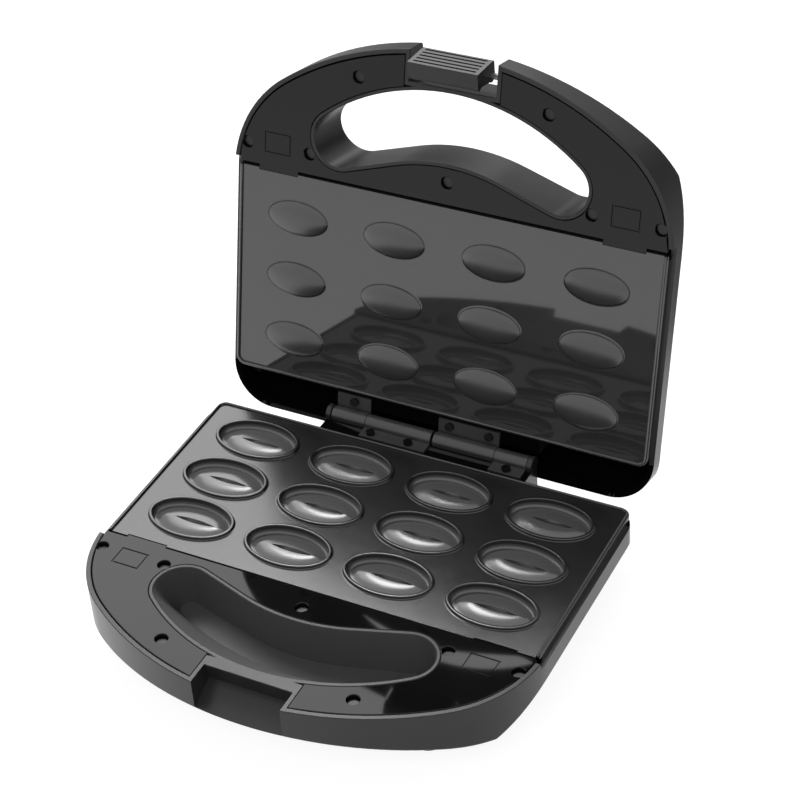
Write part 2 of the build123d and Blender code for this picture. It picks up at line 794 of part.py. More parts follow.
with BuildPart() as rubber_feet:
    for x, y in foot_places:
        add(post(x, y, foot_radius, BASE, leg_end, parting_height))
        add(post(x, y, foot_plug_radius, BASE, leg_end - foot_plug_length, leg_end))
    chamfer(rubber_feet.faces().group_by(Axis.Z)[0].edges(), foot_chamfer)
hand_in(rubber_feet, "rubber_feet")

with BuildPart() as cord_gland:
    with BuildSketch(Plane.XZ.offset(-base_rear_y)):
        with Locations((gland_x, height(BASE, gland_depth))):
            Circle(gland_flange_radius)
    extrude(amount=-gland_flange)
    with BuildSketch(Plane.XZ.offset(-base_rear_y)):
        with Locations((gland_x, height(BASE, gland_depth))):
            Circle(gland_body_radius)
    extrude(amount=wall + gland_tail)
    with Locations(Location((gland_x, base_rear_y, height(BASE, gland_depth)), (90, 0, 0))):
        Cylinder(gland_bore_radius, 2 * (wall + gland_tail + cut_over), mode=Mode.SUBTRACT)
hand_in(cord_gland, "cord_gland")

with BuildPart() as terminal_block:
    with Locations((terminal_block_x, terminal_block_y, height(BASE, terminal_block_depth))):
        Box(*terminal_block_size, align=(Align.CENTER, Align.CENTER, Align.MAX))
    hole_z = height(BASE, terminal_block_depth + terminal_block_size[2] / 2)
    for side in (-1, 1):
        hole_x = terminal_block_x + side * terminal_block_size[0] / 4
        with Locations(Location((hole_x, terminal_block_y, hole_z), (90, 0, 0))):
            Cylinder(terminal_hole_radius, terminal_block_size[1], mode=Mode.SUBTRACT)
hand_in(terminal_block, "terminal_block")

with BuildPart() as thermal_fuse:
    add(barrel(0, height(BASE, tray_far + fuse_radius), fuse_radius, fuse_x - fuse_length / 2,
               fuse_x + fuse_length / 2))
hand_in(thermal_fuse, "thermal_fuse")

# Lid
with BuildPart() as lid_casing:
    add(casing_shell(LID))
    extrude(opening(slab_plane(LID, 0, lid_depth)), amount=lid_depth, mode=Mode.SUBTRACT)
    for x in hinge_screws_lid:
        add(pilot(x, hinge_screw_y, LID, leaf_seat, hinge_screw_length), mode=Mode.SUBTRACT)
    add(barrel(latch_pivot_y, height(LID, latch_pivot_rise), latch_pin_radius + screw_fit,
               -notch_half_width - notch_wall, notch_half_width + notch_wall), mode=Mode.SUBTRACT)
    for side in (-1, 1):
        add(post(side * lamp_x, lamp_y, lens_flange_radius + lens_seat_margin, LID, lens_seat - wall,
                 lens_seat))
        add(post(side * lamp_x, lamp_y, lens_radius + fit_gap, LID, slab_back, lid_depth + cut_over),
            mode=Mode.SUBTRACT)
hand_in(lid_casing, "lid_casing", open_it=True)

with BuildPart() as lid_handle_cover:
    add(handle_cover(LID))
hand_in(lid_handle_cover, "lid_handle_cover", open_it=True)

with BuildPart() as lid_cover_screws:
    add(cover_screw_set(LID))
hand_in(lid_cover_screws, "lid_cover_screws", open_it=True)

with BuildPart() as lid_plate:
    surface = height(LID, surface_drop)
    with Locations(*[(x, y, surface) for x, y in mould_places]):
        add(oval(boss_length, boss_width, boss_height))
    add(box_between((-plate_half_width, plate_half_width), (plate_front_y, plate_rear_y), LID,
                    (surface_drop, surface_drop + 2 * boss_height)), mode=Mode.SUBTRACT)
    add(plate_blank(LID))
hand_in(lid_plate, "lid_plate", open_it=True)

with BuildPart() as lid_heater:
    with Locations((0, 0, height(LID, heater_depth))):
        add(heater())
hand_in(lid_heater, "lid_heater", open_it=True)

with BuildPart() as lid_heater_terminals:
    add(heater_terminals(LID))
hand_in(lid_heater_terminals, "lid_heater_terminals", open_it=True)

with BuildPart() as lid_heat_tray:
    add(heat_tray(LID))
hand_in(lid_heat_tray, "lid_heat_tray", open_it=True)

with BuildPart() as lid_plate_nuts:
    add(plate_nuts(LID))
hand_in(lid_plate_nuts, "lid_plate_nuts", open_it=True)

with BuildPart() as thermostat:
    add(post(0, 0, thermostat_radius, LID, slab_back, slab_back + thermostat_height))
    add(post(0, 0, thermostat_cap_radius, LID, slab_back + thermostat_height,
             slab_back + thermostat_height + thermostat_cap_height))
hand_in(thermostat, "thermostat", open_it=True)

with BuildPart() as lid_hinge_short:
    add(hinge_leaf(LID, left_hinge[0], left_hinge[1] - knuckle_gap / 2, hinge_screws_lid))
hand_in(lid_hinge_short, "lid_hinge_short", open_it=True)

with BuildPart() as lid_hinge_long:
    add(hinge_leaf(LID, right_hinge[0], right_hinge[1] - knuckle_gap / 2, hinge_screws_lid))
hand_in(lid_hinge_long, "lid_hinge_long", open_it=True)

with BuildPart() as lid_hinge_screws:
    add(hinge_screw_set(LID, hinge_screws_lid))
hand_in(lid_hinge_screws, "lid_hinge_screws", open_it=True)

with BuildPart() as lamp_lenses:
    for side in (-1, 1):
        add(post(side * lamp_x, lamp_y, lens_radius, LID, lens_seat - lamp_length / 2, lens_seat))
        add(post(side * lamp_x, lamp_y, lens_flange_radius, LID, lens_seat, lens_seat + lens_flange))
    fillet(lamp_lenses.faces().group_by(Axis.Z)[-1].edges(), lens_flange / 2)
    for side in (-1, 1):
        add(post(side * lamp_x, lamp_y, lamp_radius + screw_fit, LID, 0, lens_seat), mode=Mode.SUBTRACT)
hand_in(lamp_lenses, "lamp_lenses", open_it=True)

with BuildPart() as indicator_lamps:
    for side in (-1, 1):
        add(post(side * lamp_x, lamp_y, lamp_radius, LID, lens_seat - lamp_length, lens_seat))
hand_in(indicator_lamps, "indicator_lamps", open_it=True)

with BuildPart() as latch_pin:
    add(barrel(latch_pivot_y, height(LID, latch_pivot_rise), latch_pin_radius, -notch_half_width - notch_wall,
               notch_half_width + notch_wall))
hand_in(latch_pin, "latch_pin", open_it=True)

# Latch, drawn as it hangs free of the catch
with BuildPart() as latch_lever:
    pivot = (latch_pivot_y, height(LID, latch_pivot_rise))
    top = (latch_face_top[0], height(LID, latch_face_top[1]))
    bottom = (latch_face_bottom[0], height(LID, latch_face_bottom[1]))
    toe = (latch_toe[0], height(LID, latch_toe[1]))
    nose = (latch_nose[0], height(LID, latch_nose[1]))
    web_low = (latch_web_y, height(LID, latch_nose[1] + latch_hook_height))
    web_high = (latch_web_y, height(LID, latch_web_top))
    crest = (latch_pivot_y, pivot[1] + latch_barrel_radius)
    with BuildSketch(Plane.YZ) as profile:
        with BuildLine():
            Polyline(top, bottom, toe, nose, web_low, web_high, pivot, crest, close=True)
        make_face()
        fillet(profile.vertices().sort_by_distance(top)[0], latch_top_radius)
        fillet(profile.vertices().sort_by_distance(bottom)[0], latch_bottom_radius)
        with Locations(pivot):
            Circle(latch_barrel_radius)
            Circle(latch_pin_radius + running_clearance, mode=Mode.SUBTRACT)
    extrude(amount=latch_half_width, both=True)
    face_lean = degrees(atan2(top[1] - bottom[1], top[0] - bottom[0]))
    middle = (Vector(*top) + Vector(*bottom)) * 0.5
    along = (Vector(*top) - Vector(*bottom)).normalized()
    with BuildSketch(Plane.YZ):
        for rib in range(latch_rib_count):
            place = middle + along * ((rib - (latch_rib_count - 1) / 2) * latch_rib_pitch)
            with Locations(Location((place.X, place.Y), face_lean)):
                Rectangle(latch_rib_groove, 2 * latch_rib_depth)
    extrude(amount=latch_rib_half_width, both=True, mode=Mode.SUBTRACT)
hand_in(latch_lever, "latch_lever", open_it=True)
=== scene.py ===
"""Looks of a hinged electric baking appliance that stands open: finishes, fine shapes, light and view."""
import json
from math import acos, atan2, copysign, cos, pi, radians, sin, sqrt

import bmesh
import bpy
from mathutils import Matrix, Vector


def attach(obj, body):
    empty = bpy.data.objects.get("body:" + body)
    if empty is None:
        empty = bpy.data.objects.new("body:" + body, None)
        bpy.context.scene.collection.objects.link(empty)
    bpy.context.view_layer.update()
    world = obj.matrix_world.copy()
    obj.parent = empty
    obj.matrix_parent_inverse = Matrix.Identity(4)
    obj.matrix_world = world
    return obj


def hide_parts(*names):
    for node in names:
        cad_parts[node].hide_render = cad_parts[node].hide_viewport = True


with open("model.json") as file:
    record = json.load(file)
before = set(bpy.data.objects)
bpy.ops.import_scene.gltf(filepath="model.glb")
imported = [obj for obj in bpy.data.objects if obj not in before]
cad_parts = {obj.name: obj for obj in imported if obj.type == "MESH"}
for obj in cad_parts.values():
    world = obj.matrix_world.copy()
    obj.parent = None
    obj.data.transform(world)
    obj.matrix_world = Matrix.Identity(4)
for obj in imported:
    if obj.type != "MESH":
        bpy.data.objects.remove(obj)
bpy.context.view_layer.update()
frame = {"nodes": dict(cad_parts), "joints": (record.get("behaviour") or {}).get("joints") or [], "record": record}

MM = 0.001
scene = bpy.context.scene
scene.view_settings.view_transform = "Standard"

# The lid's turn from closed to open, about the hinge axis that the frame gives
lid_joint = next(joint for joint in frame["joints"] if joint["name"] == "lid_hinge")
HINGE = Vector(lid_joint["pos_m"])
OPEN_ANGLE = radians(lid_joint["range_deg"][1])
TO_OPEN = Matrix.Translation(HINGE) @ Matrix.Rotation(-OPEN_ANGLE, 4, "X") @ Matrix.Translation(-HINGE)

# Levels in millimetres as the halves lie when closed
PARTING = 40.0  # plane where they meet
PARTING_GAP = 0.3  # from that plane to the face of each half
SURFACE_DROP = 1.44  # from that plane to the flat of each plate

# Camera at the photograph's viewing angle
CAMERA_PLACE = (0.41233, -0.69795, 0.73377)
CAMERA_YAW = radians(29.254)
CAMERA_PITCH = radians(37.692)
CAMERA_ROLL = radians(-4.400)
CAMERA_LENS = 102.58
CAMERA_SENSOR = 36.0
CAMERA_NEAR = 0.01


def make_camera():
    """Camera that looks along its yaw and pitch, turned by its roll about the line of sight."""
    level = Vector((cos(CAMERA_YAW), sin(CAMERA_YAW), 0.0))
    across = Vector((-sin(CAMERA_YAW), cos(CAMERA_YAW), 0.0))
    ahead = cos(CAMERA_PITCH) * across - Vector((0.0, 0.0, sin(CAMERA_PITCH)))
    upward = level.cross(ahead)
    right = cos(CAMERA_ROLL) * level + sin(CAMERA_ROLL) * upward
    up = -sin(CAMERA_ROLL) * level + cos(CAMERA_ROLL) * upward
    data = bpy.data.cameras.new("camera")
    data.lens = CAMERA_LENS
    data.sensor_width = CAMERA_SENSOR
    data.clip_start = CAMERA_NEAR
    camera = bpy.data.objects.new("camera", data)
    camera.matrix_world = Matrix((right, up, -ahead)).transposed().to_4x4()
    camera.location = CAMERA_PLACE
    scene.collection.objects.link(camera)
    scene.camera = camera


make_camera()

# Places of the colour sockets on a Mix node, which has several of each name
MIX_SHARE = 0
MIX_FIRST = 6
MIX_SECOND = 7
MIX_RESULT = 2

# Noise in the finishes: the fine grain, and the mottle that is so many times larger
NOISE_ROUGHNESS = 0.55
GRAIN_DETAIL = 3.0
MOTTLE_DETAIL = 2.0
MOTTLE_SIZE = 12.0


def new_material(name):
    """New material, its node tree and its shader."""
    material = bpy.data.materials.new(name)
    material.use_nodes = True
    return material, *shader_of(material)


def shader_of(material):
    """Node tree of a material and its shader."""
    return material.node_tree, material.node_tree.nodes["Principled BSDF"]


def add_node(tree, kind, inputs=None, **settings):
    """Node with its settings; inputs maps a socket to a value or to another node's output."""
    node = tree.nodes.new(kind)
    for key, value in settings.items():
        setattr(node, key, value)
    for key, value in (inputs or {}).items():
        if isinstance(value, bpy.types.NodeSocket):
            tree.links.new(value, node.inputs[key])
        else:
            node.inputs[key].default_value = value
    return node


def noise(tree, scale, detail):
    """Noise in object coordinates, in metres."""
    coordinates = add_node(tree, "ShaderNodeTexCoord")
    return add_node(tree, "ShaderNodeTexNoise", {
        "Vector": coordinates.outputs["Object"], "Scale": scale, "Detail": detail,
        "Roughness": NOISE_ROUGHNESS}).outputs["Fac"]


def along(tree, direction, space="Object"):
    """How far a point lies along a direction, in object coordinates or another space of that node."""
    coordinates = add_node(tree, "ShaderNodeTexCoord")
    return add_node(tree, "ShaderNodeVectorMath", {0: coordinates.outputs[space], 1: direction},
                    operation="DOT_PRODUCT").outputs["Value"]


def ramp(tree, value, low, high, start=0.0, stop=1.0):
    """Map a value between start and stop to one between low and high."""
    return add_node(tree, "ShaderNodeMapRange", {
        "Value": value, "From Min": start, "From Max": stop, "To Min": low, "To Max": high}).outputs["Result"]


def calculate(tree, operation, first, second):
    """Result of one operation on two values."""
    return add_node(tree, "ShaderNodeMath", {0: first, 1: second}, operation=operation).outputs["Value"]


def blend_colour(tree, share, first, second):
    """Colour between two, each a colour or another node's output, by a share from 0 to 1."""
    return add_node(tree, "ShaderNodeMix", {MIX_SHARE: share, MIX_FIRST: first, MIX_SECOND: second},
                    data_type="RGBA").outputs[MIX_RESULT]


def seeing_rays(tree, paths):
    """1 for rays that see the background, straight, mirrored or through glass, and 0 for the rest."""
    seen = calculate(tree, "MAXIMUM", paths.outputs["Is Camera Ray"], paths.outputs["Is Glossy Ray"])
    return calculate(tree, "MAXIMUM", seen, paths.outputs["Is Transmission Ray"])


def grey(level, blue=0.0):
    """Grey with a hint of blue."""
    return (level, level, level + blue)


def surface(name, dark, light, rough, grain, metallic=0.0, ior=1.5, relief=0.0):
    """Finish whose colour, roughness and relief vary a little, as a moulded or coated surface does.

    Where rough is None, the roughness is left for a later step to link.
    """
    material, tree, shader = new_material(name)
    shader.inputs["Metallic"].default_value = metallic
    shader.inputs["IOR"].default_value = ior
    mottle = noise(tree, grain / MOTTLE_SIZE, MOTTLE_DETAIL)
    tree.links.new(blend_colour(tree, mottle, (*dark, 1.0), (*light, 1.0)), shader.inputs["Base Color"])
    if rough:
        tree.links.new(ramp(tree, mottle, *rough), shader.inputs["Roughness"])
    if relief:
        height = noise(tree, grain, GRAIN_DETAIL)
        bump = add_node(tree, "ShaderNodeBump", {"Height": height, "Distance": relief})
        tree.links.new(bump.outputs["Normal"], shader.inputs["Normal"])
    return material


def lean_normal(material, lean):
    """Shading normal leaned by a hair in the piece's own space, as a slightly bowed surface reflects."""
    tree, shader = shader_of(material)
    coordinates = add_node(tree, "ShaderNodeTexCoord")
    total = add_node(tree, "ShaderNodeVectorMath", {0: coordinates.outputs["Normal"], 1: lean},
                     operation="ADD")
    turned = add_node(tree, "ShaderNodeVectorTransform", {"Vector": total.outputs["Vector"]},
                      vector_type="NORMAL", convert_from="OBJECT", convert_to="WORLD")
    tree.links.new(turned.outputs["Vector"], shader.inputs["Normal"])


# Paler tone painted as light in the base plate's hollows, and duller coating on the lid's bosses, in millimetres
# from their flat
HOLLOW_LIGHT_FADE = (0.36, 0.96)  # depths where the painted light, a paler tone, sets in and is full
BOSS_FADE = (0.1, 1.0)  # heights where the duller coating sets in and is full
FLAT_ROUGH = 0.04
BOSS_ROUGH = 0.33


def paint_hollow_light(material, colour):
    """Paler tone painted on whatever lies below the base plate's surface, as painted light in the hollows."""
    tree, shader = shader_of(material)
    start, stop = ((PARTING - SURFACE_DROP - depth) * MM for depth in HOLLOW_LIGHT_FADE)
    share = ramp(tree, along(tree, (0.0, 0.0, 1.0)), 0.0, 1.0, start, stop)
    plain = shader.inputs["Base Color"].links[0].from_socket
    tree.links.new(blend_colour(tree, share, plain, colour), shader.inputs["Base Color"])


def soften_bosses(material):
    """Duller coating on whatever stands out of the lid's plate, whose flat part shines like a mirror."""
    tree, shader = shader_of(material)
    facing = TO_OPEN.to_3x3() @ Vector((0.0, 0.0, -1.0))
    flat = facing.dot(TO_OPEN @ Vector((0.0, 0.0, (PARTING + SURFACE_DROP) * MM)))
    start, stop = (flat + height * MM for height in BOSS_FADE)
    rough = ramp(tree, along(tree, facing), FLAT_ROUGH, BOSS_ROUGH, start, stop)
    tree.links.new(rough, shader.inputs["Roughness"])


def cover_finish(name):
    """Nearly a mirror, as both handle covers are."""
    return surface(name, grey(0.0035, 0.0001), grey(0.0045, 0.0001), (0.03, 0.05), grain=900.0, ior=1.38)


# Leans of two shading normals, and the paler tone painted as light in the hollows
COVER_LEAN = (0.06, 0.089, 0.0)
LID_PLATE_LEAN = (0.0, -0.02, -0.08)
HOLLOW_PAINTED_LIGHT = (*grey(0.055), 1.0)

# Finishes, each with its darker and lighter tone, its range of roughness and its grain per metre
gloss_black = surface("gloss_black", grey(0.024, 0.0005), grey(0.027, 0.0005), (0.27, 0.3), grain=900.0,
                      ior=1.4)
cover_black = cover_finish("cover_black")
bowed_black = cover_finish("bowed_black")
lean_normal(bowed_black, COVER_LEAN)
base_coating = surface("base_coating", grey(0.004), grey(0.007), (0.17, 0.22), grain=1800.0, ior=1.75,
                       relief=0.02 * MM)
# Painted light: the hollows get a paler tone than the flat coating
paint_hollow_light(base_coating, HOLLOW_PAINTED_LIGHT)
lid_coating = surface("lid_coating", grey(0.04), grey(0.045), None, grain=1500.0, ior=1.72)
lean_normal(lid_coating, LID_PLATE_LEAN)
soften_bosses(lid_coating)
# Painted shade: a darker, dull black on the casings' inner faces behind the plates
painted_shade_black = surface("painted_shade_black", grey(0.0015), grey(0.002), (0.85, 0.95), grain=900.0, ior=1.1)
# Painted light: a paler grey on the finger scoop, where light from above falls
scoop_painted_light = surface("scoop_painted_light", grey(0.082, 0.001), grey(0.09, 0.001), (0.45, 0.5), grain=1400.0,
                      ior=1.3)
hinge_black = surface("hinge_black", grey(0.03), grey(0.036), (0.3, 0.36), grain=1200.0, ior=1.6)
steel = surface("steel", grey(0.22, 0.005), grey(0.3, 0.005), (0.28, 0.4), grain=1200.0, metallic=1.0)
dark_steel = surface("dark_steel", grey(0.03), grey(0.05), (0.25, 0.4), grain=1200.0, metallic=1.0)
bright_sheet = surface("bright_sheet", grey(0.6), grey(0.7), (0.2, 0.35), grain=600.0, metallic=1.0)
rubber = surface("rubber", grey(0.015), grey(0.03), (0.6, 0.8), grain=2500.0)
cream = surface("cream", (0.6, 0.56, 0.48), (0.66, 0.62, 0.54), (0.4, 0.5), grain=900.0)
lens_red = surface("lens_red", (0.2, 0.006, 0.005), (0.25, 0.01, 0.008), (0.05, 0.1), grain=900.0)
lamp_glass = surface("lamp_glass", (0.7, 0.5, 0.3), (0.75, 0.55, 0.35), (0.05, 0.1), grain=900.0)

FINISHES = {
    "casing": gloss_black, "handle_cover": cover_black, "baking_plate": base_coating, "screw": dark_steel,
    "heater_sheath": steel, "terminal": steel, "tray": bright_sheet, "nut": steel, "hinge": hinge_black,
    "pin": steel, "foot": rubber, "gland": rubber, "terminal_block": cream, "fuse": cream,
    "thermostat": bright_sheet, "lens": lens_red, "lamp": lamp_glass, "latch": gloss_black,
}


def paint_nodes():
    """Give each carried-over node the finish of its slot."""
    for subpart in frame["record"]["subparts"]:
        materials = frame["nodes"][subpart["node"]].data.materials
        materials.clear()
        materials.append(FINISHES[subpart["material_slot"]])


paint_nodes()


def make_piece(mesh, name, material):
    """Smooth piece of one material from a finished drawing, which is freed."""
    data = bpy.data.meshes.new(name)
    mesh.to_mesh(data)
    mesh.free()
    data.materials.append(material)
    data.shade_smooth()
    piece = bpy.data.objects.new(name, data)
    scene.collection.objects.link(piece)
    return piece


def stand_in(piece, body, node):
    """Let a piece ride on a body in place of its CAD node."""
    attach(piece, body)
    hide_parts(node)


# Baking plates in millimetres, drawn as they lie when closed
COLUMNS = 4
ROWS = 3
COLUMN_PITCH = 52.0
ROW_PITCH = 31.8
PLATE_HALF = 110.8
PLATE_FRONT = -53.6
PLATE_REAR = 52.9
PLATE_THICK = 2.9
PLATE_CORNER = 5.0
SHEET = 2.0  # wall of a bowl's back and of the skirt
EDGE_ROUND = 0.45
HOLLOW = (20.5, 12.2, 9.5)  # half length, half width and depth of the bowl, which a swelling fills
CUT = (10.8, 1.35, 2.2)  # half length, half width and depth of the cut in the swelling
CUT_FLOOR = (0.9, 0.1)  # length and width of the cut's floor as shares of its edge's
BOSS = (16.2, 8.6, 3.6)  # half length, half width and height
SWELL_CREST = 1.0  # depth of the swelling's crest
SWELL_SHIFT = 1.6  # of the crest and its cut to the right
SWELL_DROP = 2.2
SWELL_TURN = 0.8  # where the swelling's fall starts to level off, as a share of its way out
MOAT_PLACE = 0.88  # where the swelling meets the wall, as a share of the way to the rim
LIP_WIDTH = 1.6
LIP_HEIGHT = 1.5
TAB_SPAN = (78.75, 100.05)  # from the plate's middle to both ends of a tab notch
TAB_DEPTH = 1.05
BEAD_FOOT = 2.1
BEAD_WIDTH = 1.3
BEAD_HEIGHT = 1.1
BEAD_FULLNESS = 0.8  # under 1, so that its top is flatter than a half round's
BEAD_STEPS = 10
SKIRT_INSET = 3.2
SKIRT_DEPTH = 6.0
STUD_PLACE = (52.0, 40.0)
STUD_RADIUS = 2.0
STUD_LENGTH = 15.4
STUD_SIDES = 24
JOIN_DISTANCE = 0.01
SHARP_ANGLE = radians(35.0)

# How finely the plates are divided: points on a cell's short and long sides, rings in each part of a mould
SIDE_STEPS = 20
LONG_STEPS = 32
SWELL_RINGS = 14
WALL_RINGS = 8
BOSS_RINGS = 22
BACK_RINGS = 12
ARC_STEPS = 4
CORNER_STEPS = 10


def arc(centre, radius, start, stop, steps=ARC_STEPS):
    """Points of an arc about a centre, both ends included, with angles in degrees."""
    turns = [radians(start + (stop - start) * step / steps) for step in range(steps + 1)]
    return [(centre[0] + radius * cos(turn), centre[1] + radius * sin(turn)) for turn in turns]


def lip_profile():
    """Raised lip round a hollow: distance out from the hollow's edge, and height above the plate."""
    top = LIP_HEIGHT - EDGE_ROUND
    inner = arc((EDGE_ROUND, top), EDGE_ROUND, 180, 90)
    outer = arc((LIP_WIDTH - EDGE_ROUND, top), EDGE_ROUND, 90, 0)
    foot = arc((LIP_WIDTH + EDGE_ROUND, EDGE_ROUND), EDGE_ROUND, 180, 270)
    return [(0.0, 0.0)] + inner + outer + foot + [(LIP_WIDTH + 2 * EDGE_ROUND, 0.0)]


def hollow_levels():
    """Levels from the cut's edge out to the rim: a swelling that falls to a moat, then the steep wall."""
    levels = []
    slope = 2 * SWELL_TURN
    for step in range(1, SWELL_RINGS + 1):
        way = step / SWELL_RINGS
        past = max(0.0, way - SWELL_TURN)
        fall = min(way, SWELL_TURN) ** 2 + slope * past - slope * past**2 / (2 * (1 - SWELL_TURN))
        levels.append((MOAT_PLACE * way, -SWELL_CREST - SWELL_DROP * fall))
    moat = levels[-1][1]
    for step in range(1, WALL_RINGS):
        lean = radians(90.0 * step / WALL_RINGS)
        levels.append((MOAT_PLACE + (1 - MOAT_PLACE) * sin(lean), moat * cos(lean)))
    return levels


def hollow_rings(mesh, centre, turns):
    """Rings inside a hollow, from the bottom of its pointed cut out to the wall under the rim."""
    half_x, half_y, _ = HOLLOW
    length, width, depth = CUT
    floor_length, floor_width = CUT_FLOOR[0] * length, CUT_FLOOR[1] * width
    x, y = centre[0] + SWELL_SHIFT, centre[1]
    floor = -SWELL_CREST - depth
    bottom = [(x + floor_length * cos(turn), y + floor_width * sin(turn), floor) for turn in turns]
    edge = [(x + length * cos(turn), y + width * sin(turn) * abs(sin(turn)), -SWELL_CREST) for turn in turns]
    rings = [bottom, edge]
    for share, level in hollow_levels():
        ring = []
        for turn, start in zip(turns, edge):
            end = (centre[0] + half_x * cos(turn), centre[1] + half_y * sin(turn))
            x_way, y_way = end[0] - start[0], end[1] - start[1]
            ring.append((start[0] + x_way * share, start[1] + y_way * share, level))
        rings.append(ring)
    return [[mesh.verts.new(point) for point in ring] for ring in rings], mesh.verts.new((x, y, floor))


def frame_points(low, high):
    """Points round a rectangle, counter-clockwise from its lower right corner, evenly spaced on each side."""
    right = [(high[0], low[1] + (high[1] - low[1]) * step / SIDE_STEPS) for step in range(SIDE_STEPS)]
    top = [(high[0] - (high[0] - low[0]) * step / LONG_STEPS, high[1]) for step in range(LONG_STEPS)]
    left = [(low[0], high[1] - (high[1] - low[1]) * step / SIDE_STEPS) for step in range(SIDE_STEPS)]
    bottom = [(low[0] + (high[0] - low[0]) * step / LONG_STEPS, low[1]) for step in range(LONG_STEPS)]
    return right + top + left + bottom


def turns_to(points, centre, half_x, half_y):
    """Angles in an oval's formula where straight lines from its centre to the points cross it."""
    return [atan2((y - centre[1]) / half_y, (x - centre[0]) / half_x) for x, y in points]


def bridge(mesh, first, second):
    """Quads between two closed rings of vertices."""
    count = len(first)
    for index in range(count):
        after = (index + 1) % count
        mesh.faces.new((first[index], first[after], second[after], second[index]))


def mould_cell(mesh, centre, low, high, half, corner_cut):
    """One mould with the flat plate round it, out to its cell's frame; half is -1 for a hollow, 1 for a boss.

    Where the plate's corner is round, the frame's corner named by corner_cut is drawn in under the edge bead.
    """
    half_x, half_y, depth = HOLLOW if half < 0 else BOSS
    outer = frame_points(low, high)
    turns = turns_to(outer, centre, half_x, half_y)

    def ring(grow, share, level):
        points = []
        for turn in turns:
            x, y = (half_x * share + grow) * cos(turn), (half_y * share + grow) * sin(turn)
            points.append(mesh.verts.new((centre[0] + x, centre[1] + y, level)))
        return points

    if half < 0:
        rings, middle = hollow_rings(mesh, centre, turns)
        rings += [ring(out, 1.0, level) for out, level in lip_profile()]
    else:
        leans = [radians(90.0 * step / BOSS_RINGS) for step in range(1, BOSS_RINGS)]
        rings = [ring(0.0, sin(lean), depth * cos(lean)) for lean in leans]
        middle = mesh.verts.new((centre[0], centre[1], depth))
        foot = arc((EDGE_ROUND, EDGE_ROUND), EDGE_ROUND, 180, 270) + [(2 * EDGE_ROUND, 0.0)]
        rings += [ring(out, 1.0, level) for out, level in foot]
    frame_ring = []
    for x, y in outer:
        if (x, y) == corner_cut:
            pull = (PLATE_CORNER - BEAD_FOOT + BEAD_WIDTH / 2) * (1 - sqrt(0.5))
            x, y = x - copysign(1.0, x) * pull, y - pull
        frame_ring.append(mesh.verts.new((x, y, 0.0)))
    rings.append(frame_ring)
    for first, second in zip(rings, rings[1:]):
        bridge(mesh, first, second)
    for index, vertex in enumerate(rings[0]):
        mesh.faces.new((middle, vertex, rings[0][(index + 1) % len(rings[0])]))


def back_cell(mesh, centre, low, high, half):
    """Underside of one cell: the bowl's back stands out of it on the base, and it is flat on the lid."""
    outer = frame_points(low, high)
    frame_ring = [mesh.verts.new((x, y, -PLATE_THICK)) for x, y in outer]
    if half > 0:
        mesh.faces.new(frame_ring[::-1])
        return
    half_x, half_y, depth = (size + SHEET for size in HOLLOW)
    turns = turns_to(outer, centre, half_x, half_y)
    last = acos(PLATE_THICK / depth)
    rings = []
    for step in range(1, BACK_RINGS + 1):
        lean = last * step / BACK_RINGS
        ring = []
        for turn in turns:
            x, y = half_x * sin(lean) * cos(turn), half_y * sin(lean) * sin(turn)
            ring.append(mesh.verts.new((centre[0] + x, centre[1] + y, -depth * cos(lean))))
        rings.append(ring)
    rings.append(frame_ring)
    for first, second in zip(rings, rings[1:]):
        bridge(mesh, second, first)
    middle = mesh.verts.new((centre[0], centre[1], -depth))
    for index, vertex in enumerate(rings[0]):
        mesh.faces.new((middle, rings[0][(index + 1) % len(rings[0])], vertex))


def side_path(inset, closed):
    """Path inside the plate's edge: up one side, round the rear, down the other, and back if closed."""
    x, rear, front = PLATE_HALF - inset, PLATE_REAR - inset, PLATE_FRONT
    radius = max(PLATE_CORNER - inset, EDGE_ROUND)
    side, back, ahead = x - radius, rear - radius, front + inset + radius
    path = arc((side, back), radius, 0, 90, CORNER_STEPS) + arc((-side, back), radius, 90, 180, CORNER_STEPS)
    if not closed:
        return [(x, front)] + path + [(-x, front)]
    path += arc((-side, ahead), radius, 180, 270, CORNER_STEPS)
    return path + arc((side, ahead), radius, 270, 360, CORNER_STEPS)


def sweep(mesh, profile, closed=False):
    """Closed form that carries a profile of insets and levels along the plate's edge."""
    lines = [[mesh.verts.new((x, y, level)) for x, y in side_path(inset, closed)] for inset, level in profile]
    count = len(lines[0]) if closed else len(lines[0]) - 1
    for first, second in zip(lines, lines[1:] + lines[:1]):
        for index in range(count):
            after = (index + 1) % len(first)
            mesh.faces.new((first[index], second[index], second[after], first[after]))
    if not closed:
        mesh.faces.new([line[0] for line in lines][::-1])
        mesh.faces.new([line[-1] for line in lines])


def block(mesh, low, high):
    """Closed box between two corners."""
    for vertex in bmesh.ops.create_cube(mesh, size=1.0)["verts"]:
        vertex.co = Vector([low[axis] if vertex.co[axis] < 0 else high[axis] for axis in range(3)])


